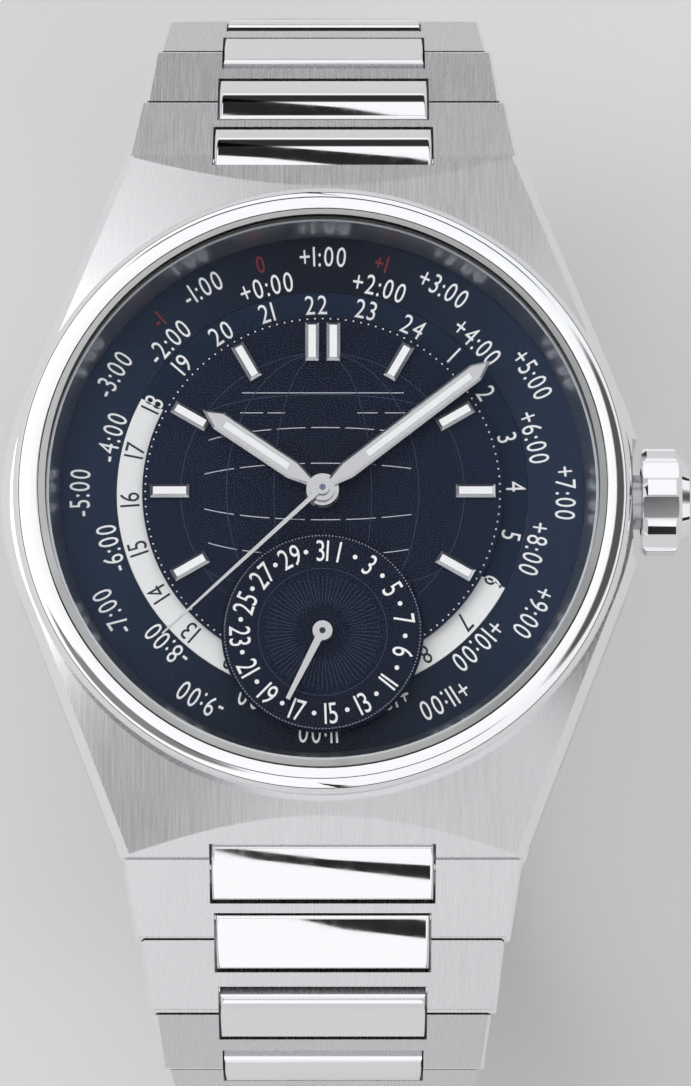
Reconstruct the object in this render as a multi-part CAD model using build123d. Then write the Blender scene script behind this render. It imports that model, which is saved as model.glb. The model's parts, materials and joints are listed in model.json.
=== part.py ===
"""World time watch on a steel bracelet, worn closed: dial up, +Z, 12 o'clock at +Y, crown at +X.

The origin is the middle of the case back's outer face. Lengths are in millimetres.
"""
from build123d import *
import math
import os

os.makedirs("parts", exist_ok=True)

# Driving sizes of the head
case_width = 41.0
lug_to_lug = 45.8
lug_width = 25.6
case_thickness = 12.9
dial_z = 10.3
running_gap = 0.1
fit_gap = 0.03
overrun = 5.0

# Middle case
case_bottom_z = 1.2
case_top_z = 8.8
lug_top_z = 6.85
shoulder_x = 18.9
shoulder_y = 7.2
facet_apex_y = 20.5
facet_apex_z = 8.53
side_bevel = 0.6
bezel_seat_depth = 1.2

# Bezel and crystal
bezel_radius = 19.6
bezel_flank_height = 2.2
bezel_width = 1.55
bezel_seat_inset = 2.0
bezel_ledge_width = 0.55
case_ledge_width = 0.7
bezel_rim_z = 12.25
bezel_dome_radius = 3.4
crystal_thickness = 0.85
crystal_chamfer = 0.5
gasket_width = 0.35

# Rehaut
rehaut_top_gap = 0.08
rehaut_width = 0.75
rehaut_lip = 0.12

# Case back
back_radius = 18.6
back_thickness = 1.4
back_rim_width = 5.2
back_crystal_ledge = 0.6
back_crystal_thickness = 0.9
back_crystal_step = 0.5
back_edge_chamfer = 0.2
back_screw_count = 6
back_screw_inset = 0.98
back_screw_radius = 0.55
back_screw_head_radius = 0.8
back_screw_head_height = 0.5
back_screw_length = 2.6
back_screw_slot = 0.18
back_gasket_inset = 2.9

# Dial and discs
dial_radius = 11.45
dial_thickness = 0.35
dial_boss_radius = 9.6
dial_hole_radius = 1.1
disc_thickness = 0.3
disc_drop = 0.5
ring_split_radius = 13.1
hour_disc_bore_radius = 10.0
subdial_radius = 6.4
subdial_offset = 9.1
subdial_thickness = 0.35
subdial_chamfer = 0.12

# Applied markers
marker_length = 2.5
marker_width = 0.87
marker_height = 0.45
marker_outer_radius = 10.95
marker_bevel = 0.2
double_marker_spacing = 1.35
side_marker_hours = (1, 2, 3, 4, 8, 9, 10, 11)

# Hands
hand_thickness = 0.25
hand_bevel_share = 0.6
hour_hand_length = 9.25
minute_hand_length = 13.5
seconds_hand_length = 13.8
date_hand_length = 4.9
hour_hand_width = 1.25
minute_hand_width = 1.2
seconds_hand_width = 0.3
seconds_tip_width = 0.12
date_hand_width = 0.5
date_tip_width = 0.28
hand_neck_width = 0.62
hour_hub_radius = 1.03
minute_hub_radius = 0.78
seconds_hub_radius = 0.44
date_hub_radius = 0.63
hour_hand_z = 10.75
minute_hand_z = 11.12
seconds_hand_z = 11.5
date_hand_z = 10.95
hand_pipe_wall = 0.16
seconds_arbor_radius = 0.2
minute_pipe_bore = 0.28
hour_pipe_bore = 0.54
hour_hand_angle = 304.2
minute_hand_angle = 52.2
seconds_hand_angle = 227.0
date_hand_angle = 206.5

# Crown
crown_z = 6.8
crown_radius = 3.5
crown_start_x = 20.35
crown_length = 2.5
crown_flutes = 8
crown_flute_width = 1.35
crown_flute_depth = 0.3
crown_flute_turn = 17.0
crown_ridge_round = 0.18
crown_edge_chamfer = 0.3
crown_shoulder_length = 0.4
crown_shoulder_radius = 2.9
crown_cap_radius = 2.75
crown_cap_edge_radius = 2.45
crown_cap_edge_length = 0.5
crown_cap_top_radius = 1.3
crown_cap_length = 0.85
crown_recess_radius = 2.15
crown_recess_depth = 1.5
tube_radius = 1.75
tube_wall = 0.55
tube_inner_x = 17.6
tube_outer_x = 21.6
crown_flat_x = 19.75
crown_flat_half_length = 3.85
stem_radius = 0.6
stem_inner_x = 9.0
stem_square_width = 0.78
stem_square_length = 2.4
crown_gasket_length = 0.5
crown_gasket_inset = 1.0

# Movement
movement_ring_width = 2.2
plate_low_z = 6.1
plate_high_z = 9.2
bridge_low_z = 2.95
bridge_high_z = 4.1
bridge_foot_width = 1.3
bridge_screw_angles = (10, 80, 135, 190, 235, 285, 330)
keyless_room = 1.2
balance_room_gap = 0.36
rotor_low_z = 1.75
rotor_plate_thickness = 0.35
rotor_rim_thickness = 0.85
rotor_radius = 13.1
rotor_rim_width = 2.4
rotor_hub_radius = 1.7
rotor_boss_radius = 1.02
rotor_web_rim = 0.72
rotor_web_hub = 2.72
rotor_rib_width = 1.02
rotor_ribs = 5
arbor_radius = 0.18
wheel_thickness = 0.2
pinion_length = 0.5
pinion_overlap = 0.17

# Going train: teeth, tooth modules and the place of each arbor
barrel_teeth = 72
second_pinion_teeth = 12
second_teeth = 64
third_pinion_teeth = 8
third_teeth = 60
fourth_pinion_teeth = 8
fourth_teeth = 70
escape_pinion_teeth = 7
escape_teeth = 20
barrel_module = 0.13
second_module = 0.11
third_module = 0.1
fourth_module = 0.08
mesh_gap = 0.03
addendum_share = 0.9
dedendum_share = 1.1
tooth_shares = (0.08, 0.36, 0.5, 0.78)
wheel_rim_share = 0.8
wheel_hub_share = 0.28
wheel_spoke_share = 0.14
drum_share = 0.9
third_direction = 148.0
second_direction = 215.0
barrel_direction = 280.0
escape_direction = 20.0
barrel_z = 4.35
barrel_height = 1.05
barrel_rim_height = 0.25
barrel_arbor_radius = 0.36
third_z = 4.75
fourth_z = 5.2
second_z = 5.6
escape_z = 4.6
escape_radius = 1.75
escape_root_share = 0.78
escape_rake_share = 0.55
small_arbor_radius = 0.09
fork_x = 4.85
fork_y = 2.3
fork_arm_length = 1.35
fork_width = 0.35
balance_x = 8.0
balance_y = 4.4
balance_z = 5.0
balance_radius = 3.35
balance_rim_width = 0.4
balance_height = 0.35
hairspring_turns = 6
hairspring_pitch = 0.2
hairspring_height = 0.15
hairspring_width = 0.06
hairspring_start_radius = 0.55
bridge_screw_radius = 0.35
bridge_screw_head_radius = 0.65
bridge_screw_head_height = 0.35

# Bracelet
links_per_side = 9
link_pitch = 5.3
link_half_thickness = 1.5
first_pin_y = 23.09
first_pin_z = 4.06
first_link_pitch = 3.55
link_slopes_6h = (34.0, 37.0, 54.0, 78.0, 92.0, 102.0, 116.0, 134.0, 154.0)
link_slopes_12h = (34.0, 36.0, 52.0, 72.0, 95.0, 112.0, 120.0)
strap_end_width = 16.0
taper_step_share = 0.1
centre_end_width = 11.5
centre_taper = 2.65
centre_length = 3.95
centre_raise = 0.2
centre_bow_radius = 13.0
centre_lead = 0.88
centre_gap = 0.22
centre_side_gap = 0.1
first_centre_lead = 2.2
first_centre_length = 3.9
knuckle_radius = 1.68
first_knuckle_radius = 1.92
knuckle_gap = 0.08
link_edge = 0.22
shoulder_round = 0.35
link_corner_round = 0.5
centre_edge = 0.25
pin_radius = 0.35
pin_reach = 2.2
spring_bar_radius = 0.45
spring_bar_back = 2.95
spring_bar_drop = 0.6
tongue_radius = 0.95

# Clasp
clasp_width = 16.0
clasp_inner_width = 12.4
cover_thickness = 0.95
cover_wall = 0.9
cover_wall_depth = 2.6
blade_thickness = 0.8
blade_gap = 0.12
clasp_pin_radius = 0.35
clasp_eye_radius = 0.62
clasp_eye_width = 4.0
inner_blade_width = 8.0
clasp_end_gap = 0.35
cover_hinge_back = 4.2
blade_hinge_back = 3.4
button_y = 9.0
button_length = 4.0
button_height = 1.4
button_reach = 1.7
button_proud = 0.5

# Worked out from the driving sizes
lug_end_y = lug_to_lug / 2
half_lug = lug_width / 2
half_case = case_width / 2
bezel_bore_radius = bezel_radius - bezel_width
bezel_seat_radius = bezel_radius - bezel_seat_inset
ledge_radius = bezel_bore_radius - bezel_ledge_width
case_bore_radius = bezel_seat_radius - case_ledge_width
city_disc_radius = case_bore_radius - running_gap
movement_ring_radius = case_bore_radius - running_gap
movement_radius = movement_ring_radius - movement_ring_width
rehaut_top_radius = ledge_radius - rehaut_top_gap
rehaut_foot_radius = rehaut_top_radius - rehaut_width
back_window_radius = back_radius - back_rim_width
back_crystal_radius = back_window_radius + back_crystal_ledge
back_screw_circle = back_radius - back_screw_inset
back_gasket_radius = back_radius - back_gasket_inset
strap_taper = lug_width - strap_end_width
crystal_top_z = case_thickness
crystal_low_z = crystal_top_z - crystal_thickness
crystal_radius = bezel_bore_radius - running_gap
disc_high_z = dial_z - disc_drop
disc_low_z = disc_high_z - disc_thickness
bezel_low_z = case_top_z - bezel_seat_depth
nodes = {}


def keep(name, *solids):
    """Remember the solids of one named piece."""
    nodes[name] = list(solids)


def turned(*points):
    """A piece turned about the Z axis from its half section of (radius, height) points."""
    return revolve(Plane.XZ * make_face(Polyline(*points, close=True)), Axis.Z)


def disc(radius, low, high, x=0, y=0):
    """A round plate between two heights."""
    return Pos(x, y, low) * extrude(Circle(radius), high - low)


def ring(outer, inner, low, high, x=0, y=0):
    """A flat ring between two heights."""
    return Pos(x, y, low) * extrude(Circle(outer) - Circle(inner), high - low)


def across(face, half_width):
    """A side section, drawn in Y and Z, given its width along X."""
    return extrude(Plane.YZ * face, half_width, both=True)


def span(low_x, high_x, low_y, high_y):
    """A rectangle between two corners."""
    middle = Pos((low_x + high_x) / 2, (low_y + high_y) / 2)
    return middle * Rectangle(high_x - low_x, high_y - low_y)


def other_side(shape):
    """The same piece at the 6 o'clock end."""
    return Rot(0, 0, 180) * shape


def solids_of(shape):
    """The separate solids of a shape."""
    return list(shape.solids())


# Bracelet geometry, used by the case as well

def strap_width(index):
    """Outer width of the bracelet after a number of links."""
    return strap_end_width + strap_taper * (1 - taper_step_share * index) ** 2


def centre_width(index):
    """Width of the centre link after a number of links."""
    return centre_end_width + centre_taper * (1 - taper_step_share * index) ** 2


def pitch_of(index):
    """Distance from a link's own pin to the next one."""
    return first_link_pitch if index == 1 else link_pitch


def pin_places(slopes):
    """(distance from the middle, height) of each hinge pin of a strand, from its link slopes."""
    places = [(first_pin_y, first_pin_z)]
    for index, degrees in enumerate(slopes, start=1):
        y, z = places[-1]
        slope = math.radians(degrees)
        step = pitch_of(index)
        places.append((y + step * math.cos(slope), z - step * math.sin(slope)))
    return places


def closing_slopes(start, goal):
    """Slopes of the last two links of a strand, so that they meet the clasp."""
    far = goal[0] - start[0]
    drop = start[1] - goal[1]
    middle = math.degrees(math.atan2(drop, far))
    half = math.degrees(math.acos(math.hypot(far, drop) / 2 / link_pitch))
    return middle - half, middle + half


clasp_pin_y, clasp_pin_z = pin_places(link_slopes_6h)[-1]
last_pair = closing_slopes(pin_places(link_slopes_12h)[-1], (clasp_pin_y, clasp_pin_z))
slopes = {"12h": link_slopes_12h + last_pair, "6h": link_slopes_6h}
pins = {side: pin_places(slopes[side]) for side in slopes}


def on_link(index, side):
    """The frame of a link: its pin at the origin, its length along Y, its outside along Z."""
    y, z = pins[side][index - 1]
    return Location((0, y, z), (-slopes[side][index - 1], 0, 0))


def pin_along_x(radius, half_length, y, z):
    """A round pin lying along X."""
    return Pos(-half_length, y, z) * (Rot(0, 90, 0) * extrude(Circle(radius), 2 * half_length))


# Case

def case_outline():
    """Half straight, half curved outline of the case seen from above."""
    right = (
        Line((half_lug, lug_end_y), (shoulder_x, shoulder_y))
        + ThreePointArc((shoulder_x, shoulder_y), (half_case, 0), (shoulder_x, -shoulder_y))
        + Line((shoulder_x, -shoulder_y), (half_lug, -lug_end_y))
    )
    left = (
        Line((-half_lug, -lug_end_y), (-shoulder_x, -shoulder_y))
        + ThreePointArc((-shoulder_x, -shoulder_y), (-half_case, 0), (-shoulder_x, shoulder_y))
        + Line((-shoulder_x, shoulder_y), (-half_lug, lug_end_y))
    )
    ends = (
        Line((half_lug, -lug_end_y), (-half_lug, -lug_end_y))
        + Line((-half_lug, lug_end_y), (half_lug, lug_end_y))
    )
    return make_face(right + left + ends)


def end_piece_space(gap):
    """Side section of the end piece, with a gap round it, in the first link's frame."""
    body = span(-first_centre_lead - gap, first_centre_length - first_centre_lead + gap,
                -link_half_thickness - gap, link_half_thickness + centre_raise + gap)
    bar = Pos(-spring_bar_back, -spring_bar_drop)
    tongue = bar * Circle(tongue_radius + gap)
    neck = span(-spring_bar_back, 0, -spring_bar_drop - tongue_radius - gap,
                -spring_bar_drop + tongue_radius + gap)
    return body + tongue + neck


def case_notches():
    """What the bracelet's end takes out of the 12 o'clock lugs."""
    slope = math.radians(link_slopes_12h[0])
    half_centre = centre_width(0) / 2 + centre_side_gap
    wall_y = (first_pin_y - (first_centre_lead + centre_side_gap) * math.cos(slope)
              + (link_half_thickness + centre_raise) * math.sin(slope))
    sloped = across(end_piece_space(centre_side_gap), half_centre)
    upright = across(span(wall_y, lug_end_y + overrun, first_pin_z, case_thickness), half_centre)
    pocket = pin_along_x(first_knuckle_radius + knuckle_gap, half_case, first_pin_y, first_pin_z)
    bar_half = half_centre + pin_reach
    bar = pin_along_x(spring_bar_radius, bar_half, -spring_bar_back, -spring_bar_drop)
    return pocket + upright + on_link(1, "12h") * (sloped + bar)


def case_body():
    """Middle case: conical brushed top, a facet at each lug end, notches for the bracelet."""
    block = Pos(0, 0, case_bottom_z) * extrude(case_outline(), case_thickness)
    cone_slope = (case_top_z - lug_top_z) / (math.hypot(half_lug, lug_end_y) - bezel_radius)
    far = bezel_radius + overrun + overrun
    far_z = case_top_z - (far - bezel_radius) * cone_slope
    cone = turned((0, 0), (far, 0), (far, far_z), (bezel_radius, case_top_z), (0, case_top_z))
    facet_slope = (facet_apex_z - lug_top_z) / (lug_end_y - facet_apex_y)
    ridge_y = lug_end_y - (case_thickness - lug_top_z) / facet_slope
    facets = across(make_face(Polyline(
        (-lug_end_y, 0), (lug_end_y, 0), (lug_end_y, lug_top_z), (ridge_y, case_thickness),
        (-ridge_y, case_thickness), (-lug_end_y, lug_top_z), close=True)), half_case)
    body = block & cone & facets
    long_edges = [
        edge for edge in body.edges()
        if edge.center().Z > case_bottom_z + side_bevel
        and edge.geom_type != GeomType.CIRCLE
        and abs(edge.center().X) > half_lug + side_bevel
        and edge.bounding_box().size.Y > side_bevel + side_bevel
    ]
    body = chamfer(long_edges, side_bevel)
    under = body.faces().sort_by(Axis.Z)[0]
    body = chamfer(under.edges().filter_by(lambda edge: abs(edge.center().X) > half_lug), side_bevel)
    body -= disc(case_bore_radius, 0, case_thickness)
    body -= disc(bezel_seat_radius, bezel_low_z, case_thickness)
    body -= disc(back_radius + fit_gap, 0, back_thickness)
    crown_flat = span(crown_flat_x, case_width, -crown_flat_half_length, crown_flat_half_length)
    body -= extrude(crown_flat, case_thickness)
    tube_way = extrude(Circle(tube_radius), case_width)
    body -= Pos(0, 0, crown_z) * (Rot(0, 90, 0) * tube_way)
    notches = case_notches()
    body -= notches
    body -= other_side(notches)
    for index in range(back_screw_count):
        x, y = screw_place(index)
        body -= disc(back_screw_radius, 0, back_screw_length + back_screw_head_height, x, y)
    return body


def screw_place(index):
    """Centre of one case back screw."""
    angle = math.radians((index + 0.5) * 360 / back_screw_count)
    return back_screw_circle * math.cos(angle), back_screw_circle * math.sin(angle)


def bezel():
    """Round polished bezel: upright flank, domed shoulder, a seat for the crystal inside."""
    shoulder_z = case_top_z + bezel_flank_height
    rim = (bezel_bore_radius, bezel_rim_z)
    shoulder = (bezel_radius, shoulder_z)
    middle = ((rim[0] + shoulder[0]) / 2, (rim[1] + shoulder[1]) / 2)
    bulge = (bezel_rim_z - shoulder_z) / bezel_dome_radius
    crown_point = (middle[0] + bulge, middle[1] + bulge)
    ledge_z = crystal_low_z - gasket_width
    foot = Polyline(rim, (bezel_bore_radius, ledge_z), (ledge_radius, ledge_z),
                    (ledge_radius, bezel_low_z), (bezel_seat_radius - fit_gap, bezel_low_z),
                    (bezel_seat_radius - fit_gap, case_top_z), (bezel_radius, case_top_z), shoulder)
    dome = ThreePointArc(shoulder, crown_point, rim)
    return revolve(Plane.XZ * make_face(foot + dome), Axis.Z)


def crystal():
    """Flat sapphire with a chamfered edge."""
    return turned((0, crystal_low_z), (crystal_radius, crystal_low_z),
                  (crystal_radius, crystal_top_z - crystal_chamfer),
                  (crystal_radius - crystal_chamfer, crystal_top_z), (0, crystal_top_z))


def rehaut_ring():
    """Sloping ring from the crystal down to the city disc."""
    top_z = crystal_low_z - gasket_width
    foot_z = disc_high_z + running_gap
    outer = ledge_radius - fit_gap
    return turned((rehaut_foot_radius, foot_z), (outer, foot_z), (outer, top_z),
                  (rehaut_top_radius - rehaut_lip, top_z))


def case_back():
    """Screwed ring with a stepped seat for its display crystal."""
    back = turned((back_window_radius, 0), (back_radius - back_edge_chamfer, 0),
                  (back_radius, back_edge_chamfer), (back_radius, back_thickness),
                  (back_crystal_radius, back_thickness),
                  (back_crystal_radius, back_crystal_step),
                  (back_window_radius, back_crystal_step))
    for index in range(back_screw_count):
        x, y = screw_place(index)
        back -= disc(back_screw_radius, 0, back_thickness + overrun, x, y)
        back -= disc(back_screw_head_radius + fit_gap, 0, back_screw_head_height, x, y)
    return back


def case_back_screws():
    """Six identical slotted screws."""
    screws = []
    for index in range(back_screw_count):
        x, y = screw_place(index)
        head = disc(back_screw_head_radius, 0, back_screw_head_height, x, y)
        shank = disc(back_screw_radius, 0, back_screw_length, x, y)
        slot_length = back_screw_head_radius * 2 + running_gap
        slot = Pos(x, y, 0) * Box(slot_length, back_screw_slot, back_screw_slot * 2)
        screws.append(head + shank - slot)
    return screws


def crown_tube():
    """Tube pressed into the case side, for the stem."""
    tube = extrude(Circle(tube_radius) - Circle(tube_radius - tube_wall), tube_outer_x - tube_inner_x)
    return Pos(tube_inner_x, 0, crown_z) * (Rot(0, 90, 0) * tube)


def crown_section():
    """Outline of the fluted crown, seen along its axis."""
    outline = Circle(crown_radius)
    low = crown_radius - crown_flute_depth
    flute = span(low, crown_radius + crown_flute_width, -crown_flute_width / 2,
                 crown_flute_width / 2)
    for index in range(crown_flutes):
        outline -= Rot(0, 0, crown_flute_turn + index * 360 / crown_flutes) * flute
    ridges = [corner for corner in outline.vertices()
              if math.hypot(corner.X, corner.Y) > crown_radius - fit_gap]
    return fillet(ridges, crown_ridge_round)


def crown():
    """Fluted crown with a domed end cap, hollow behind for the tube."""
    far = crown_length + crown_cap_length
    body = turned((0, 0), (crown_radius - crown_edge_chamfer, 0),
                  (crown_radius, crown_edge_chamfer),
                  (crown_radius, crown_length - crown_shoulder_length),
                  (crown_shoulder_radius, crown_length), (0, crown_length))
    cap = turned((0, crown_edge_chamfer), (crown_cap_radius, crown_edge_chamfer),
                 (crown_cap_radius, crown_length),
                 (crown_cap_edge_radius, crown_length + crown_cap_edge_length),
                 (crown_cap_top_radius, far), (0, far))
    whole = (body & extrude(crown_section(), crown_length)) + cap
    whole -= extrude(Circle(crown_recess_radius), crown_recess_depth)
    whole -= extrude(Circle(stem_radius), crown_length)
    return Pos(crown_start_x, 0, crown_z) * (Rot(0, 90, 0) * whole)


def winding_stem():
    """Stem from the crown into the movement."""
    stem = extrude(Circle(stem_radius), crown_start_x + crown_length - stem_inner_x)
    square = Box(stem_square_width, stem_square_width, stem_square_length)
    return Pos(stem_inner_x, 0, crown_z) * (Rot(0, 90, 0) * (stem + square))


def crown_gasket():
    """Gasket round the stem, inside the tube."""
    outer = tube_radius - tube_wall - fit_gap
    inner = stem_radius + fit_gap
    gasket = extrude(Circle(outer) - Circle(inner), crown_gasket_length)
    return Pos(tube_inner_x + crown_gasket_inset, 0, crown_z) * (Rot(0, 90, 0) * gasket)


# Dial side

def dial_plate():
    """Raised centre of the dial on its boss."""
    plate = disc(dial_radius, dial_z - dial_thickness, dial_z)
    boss = disc(dial_boss_radius, plate_high_z, dial_z)
    return plate + boss - disc(dial_hole_radius, 0, case_thickness) - date_hole()


def date_hole():
    """Hole through the dial pieces for the date hand's arbor."""
    return disc(date_hub_radius, 0, case_thickness, 0, -subdial_offset)


def marker(angle, offset=0):
    """One faceted baton, its outer end at the marker circle."""
    block = Box(marker_width, marker_length, marker_height,
                align=(Align.CENTER, Align.MAX, Align.MIN))
    top = block.faces().sort_by(Axis.Z)[-1]
    block = chamfer(top.edges(), marker_bevel)
    return Rot(0, 0, -angle) * Pos(offset, marker_outer_radius, dial_z) * block


def hour_markers():
    """A double baton at 12 and single ones at the sides."""
    batons = [marker(hour * 360 / 12) for hour in side_marker_hours]
    batons.append(marker(0, double_marker_spacing / 2))
    batons.append(marker(0, -double_marker_spacing / 2))
    return batons


def date_subdial():
    """Raised round dial for the date, over the rings at 6 o'clock."""
    plate = disc(subdial_radius, dial_z, dial_z + subdial_thickness)
    plate = chamfer(plate.edges().group_by(Axis.Z)[-1], subdial_chamfer)
    return Pos(0, -subdial_offset, 0) * plate - date_hole()


def city_disc():
    """Outer ring of the world time display."""
    return ring(city_disc_radius, ring_split_radius, disc_low_z, disc_high_z)


def hour_disc():
    """24 hour ring inside the outer ring."""
    return ring(ring_split_radius - fit_gap, hour_disc_bore_radius, disc_low_z, disc_high_z)


def baton_hand(length, width, hub_radius):
    """Outline of a pointed baton hand with a necked hub, pointing to +Y."""
    tip_start = length - width
    neck_end = hub_radius + width
    half = width / 2
    neck = hand_neck_width / 2
    blade = make_face(Polyline(
        (-neck, 0), (-neck, hub_radius), (-half, neck_end), (-half, tip_start), (0, length),
        (half, tip_start), (half, neck_end), (neck, hub_radius), (neck, 0), close=True))
    return blade + Circle(hub_radius)


def faceted(outline):
    """A flat hand with its long top edges bevelled."""
    flat = extrude(outline, hand_thickness)
    top = flat.faces().sort_by(Axis.Z)[-1]
    straight = [edge for edge in top.edges() if edge.geom_type == GeomType.LINE]
    return chamfer(straight, hand_thickness * hand_bevel_share)


def pointed_at(angle, height, hand):
    """Turn a hand clockwise from 12 and lift it to its height."""
    return Rot(0, 0, -angle) * Pos(0, 0, height) * hand


def hour_hand():
    """Hour hand on its pipe."""
    hand = faceted(baton_hand(hour_hand_length, hour_hand_width, hour_hub_radius))
    hand -= extrude(Circle(hour_pipe_bore), hand_thickness)
    hand = pointed_at(hour_hand_angle, hour_hand_z, hand)
    pipe = ring(hour_pipe_bore + hand_pipe_wall, hour_pipe_bore, plate_high_z, hour_hand_z)
    return hand + pipe


def minute_hand():
    """Minute hand on its pipe."""
    hand = faceted(baton_hand(minute_hand_length, minute_hand_width, minute_hub_radius))
    hand -= extrude(Circle(minute_pipe_bore), hand_thickness)
    hand = pointed_at(minute_hand_angle, minute_hand_z, hand)
    pipe = ring(minute_pipe_bore + hand_pipe_wall, minute_pipe_bore, plate_high_z, minute_hand_z)
    return hand + pipe


def needle(length, hub_width, tip_width, hub_radius):
    """A thin hand, tapered from its hub to its tip."""
    blade = make_face(Polyline(
        (-hub_width / 2, 0), (-tip_width / 2, length), (tip_width / 2, length), (hub_width / 2, 0),
        close=True))
    return extrude(blade + Circle(hub_radius), hand_thickness)


def seconds_hand():
    """Thin seconds hand."""
    hand = needle(seconds_hand_length, seconds_hand_width, seconds_tip_width, seconds_hub_radius)
    hand -= extrude(Circle(seconds_arbor_radius), hand_thickness)
    return pointed_at(seconds_hand_angle, seconds_hand_z, hand)


def date_hand():
    """Date hand on its arbor."""
    hand = needle(date_hand_length, date_hand_width, date_tip_width, date_hub_radius)
    hand = Pos(0, -subdial_offset, 0) * pointed_at(date_hand_angle, date_hand_z, hand)
    arbor = disc(seconds_arbor_radius, plate_high_z, date_hand_z, 0, -subdial_offset)
    return hand + arbor


# Movement

def gear_face(teeth, module):
    """Spur wheel outline: straight-sided teeth about the pitch circle."""
    pitch_radius = teeth * module / 2
    tip = pitch_radius + module * addendum_share
    root = pitch_radius - module * dedendum_share
    points = []
    for index in range(teeth):
        for share, radius in zip(tooth_shares, (root, tip, tip, root)):
            angle = math.radians((index + share) * 360 / teeth)
            points.append((radius * math.cos(angle), radius * math.sin(angle)))
    return make_face(Polyline(*points, close=True))


def gear_centres():
    """Places of the going train's arbors, from the fourth wheel at the centre outwards."""
    def step(start, degrees, distance):
        angle = math.radians(degrees)
        return start[0] + distance * math.cos(angle), start[1] + distance * math.sin(angle)

    third = step((0, 0), third_direction,
                 (third_teeth + fourth_pinion_teeth) * third_module / 2 + mesh_gap)
    second = step(third, second_direction,
                  (second_teeth + third_pinion_teeth) * second_module / 2 + mesh_gap)
    barrel = step(second, barrel_direction,
                  (barrel_teeth + second_pinion_teeth) * barrel_module / 2 + mesh_gap)
    escape = step((0, 0), escape_direction,
                  (fourth_teeth + escape_pinion_teeth) * fourth_module / 2 + mesh_gap)
    return {"third": third, "second": second, "barrel": barrel, "escape": escape}


centres = gear_centres()


def spoked(teeth, module):
    """A train wheel with four spokes."""
    radius = teeth * module / 2
    rim = radius * wheel_rim_share
    spoke = radius * wheel_spoke_share
    window = Circle(rim) - Circle(radius * wheel_hub_share)
    window -= Rectangle(rim * 2, spoke)
    window -= Rectangle(spoke, rim * 2)
    return extrude(gear_face(teeth, module) - window, wheel_thickness)


def train_wheel(teeth, module, wheel_z, pinion_teeth, pinion_module, pinion_z):
    """Wheel, pinion and arbor turned as one piece, pivoted between bridge and plate."""
    wheel = Pos(0, 0, wheel_z) * spoked(teeth, module)
    pinion = Pos(0, 0, pinion_z) * extrude(gear_face(pinion_teeth, pinion_module), pinion_length)
    arbor = disc(arbor_radius, bridge_high_z + fit_gap, plate_low_z - fit_gap)
    return wheel + pinion + arbor


def barrel():
    """Mainspring barrel with its toothed rim."""
    x, y = centres["barrel"]
    drum_radius = barrel_teeth * barrel_module / 2 * drum_share
    rim = extrude(gear_face(barrel_teeth, barrel_module), barrel_rim_height)
    drum = extrude(Circle(drum_radius), barrel_height)
    arbor = disc(barrel_arbor_radius, bridge_high_z + fit_gap, plate_low_z - fit_gap)
    return Pos(x, y, 0) * (Pos(0, 0, barrel_z) * (rim + drum) + arbor)


def second_wheel():
    """Second wheel, driven by the barrel."""
    x, y = centres["second"]
    wheel = train_wheel(second_teeth, second_module, second_z, second_pinion_teeth, barrel_module,
                        barrel_z)
    return Pos(x, y, 0) * wheel


def third_wheel():
    """Third wheel."""
    x, y = centres["third"]
    wheel = train_wheel(third_teeth, third_module, third_z, third_pinion_teeth, second_module,
                        second_z - pinion_overlap)
    return Pos(x, y, 0) * wheel


def fourth_wheel():
    """Fourth wheel at the centre, its long arbor carrying the seconds hand."""
    wheel = train_wheel(fourth_teeth, fourth_module, fourth_z, fourth_pinion_teeth, third_module,
                        third_z - pinion_overlap)
    return wheel + disc(seconds_arbor_radius, fourth_z, seconds_hand_z + hand_thickness)


def escape_wheel():
    """Escape wheel with raked teeth."""
    x, y = centres["escape"]
    points = []
    root = escape_radius * escape_root_share
    for index in range(escape_teeth):
        start = math.radians(index * 360 / escape_teeth)
        end = math.radians((index + escape_rake_share) * 360 / escape_teeth)
        points.append((escape_radius * math.cos(start), escape_radius * math.sin(start)))
        points.append((root * math.cos(end), root * math.sin(end)))
    face = make_face(Polyline(*points, close=True))
    wheel = Pos(0, 0, escape_z) * extrude(face, wheel_thickness)
    pinion = Pos(0, 0, fourth_z - pinion_overlap) * extrude(
        gear_face(escape_pinion_teeth, fourth_module), pinion_length)
    arbor = disc(small_arbor_radius, bridge_high_z + fit_gap, plate_low_z - fit_gap)
    return Pos(x, y, 0) * (wheel + pinion + arbor)


def pallet_fork():
    """Pallet fork between the escape wheel and the balance."""
    arms = Rectangle(fork_width, fork_arm_length * 2) + Pos(fork_arm_length / 2, 0) * Rectangle(
        fork_arm_length, fork_width)
    lever = Pos(0, 0, escape_z) * extrude(arms, wheel_thickness)
    arbor = disc(small_arbor_radius, bridge_high_z + fit_gap, plate_low_z - fit_gap)
    turn = math.degrees(math.atan2(balance_y - fork_y, balance_x - fork_x))
    return Pos(fork_x, fork_y, 0) * (Rot(0, 0, turn) * lever + arbor)


def balance_wheel():
    """Balance rim on two arms, with its staff."""
    rim = Circle(balance_radius) - Circle(balance_radius - balance_rim_width)
    arm = Rectangle(balance_radius * 2 - balance_rim_width, balance_rim_width)
    wheel = Pos(0, 0, balance_z) * extrude(rim + arm, balance_height)
    staff = disc(arbor_radius, bridge_high_z + fit_gap, plate_low_z - fit_gap)
    return Pos(balance_x, balance_y, 0) * (wheel + staff)


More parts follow.
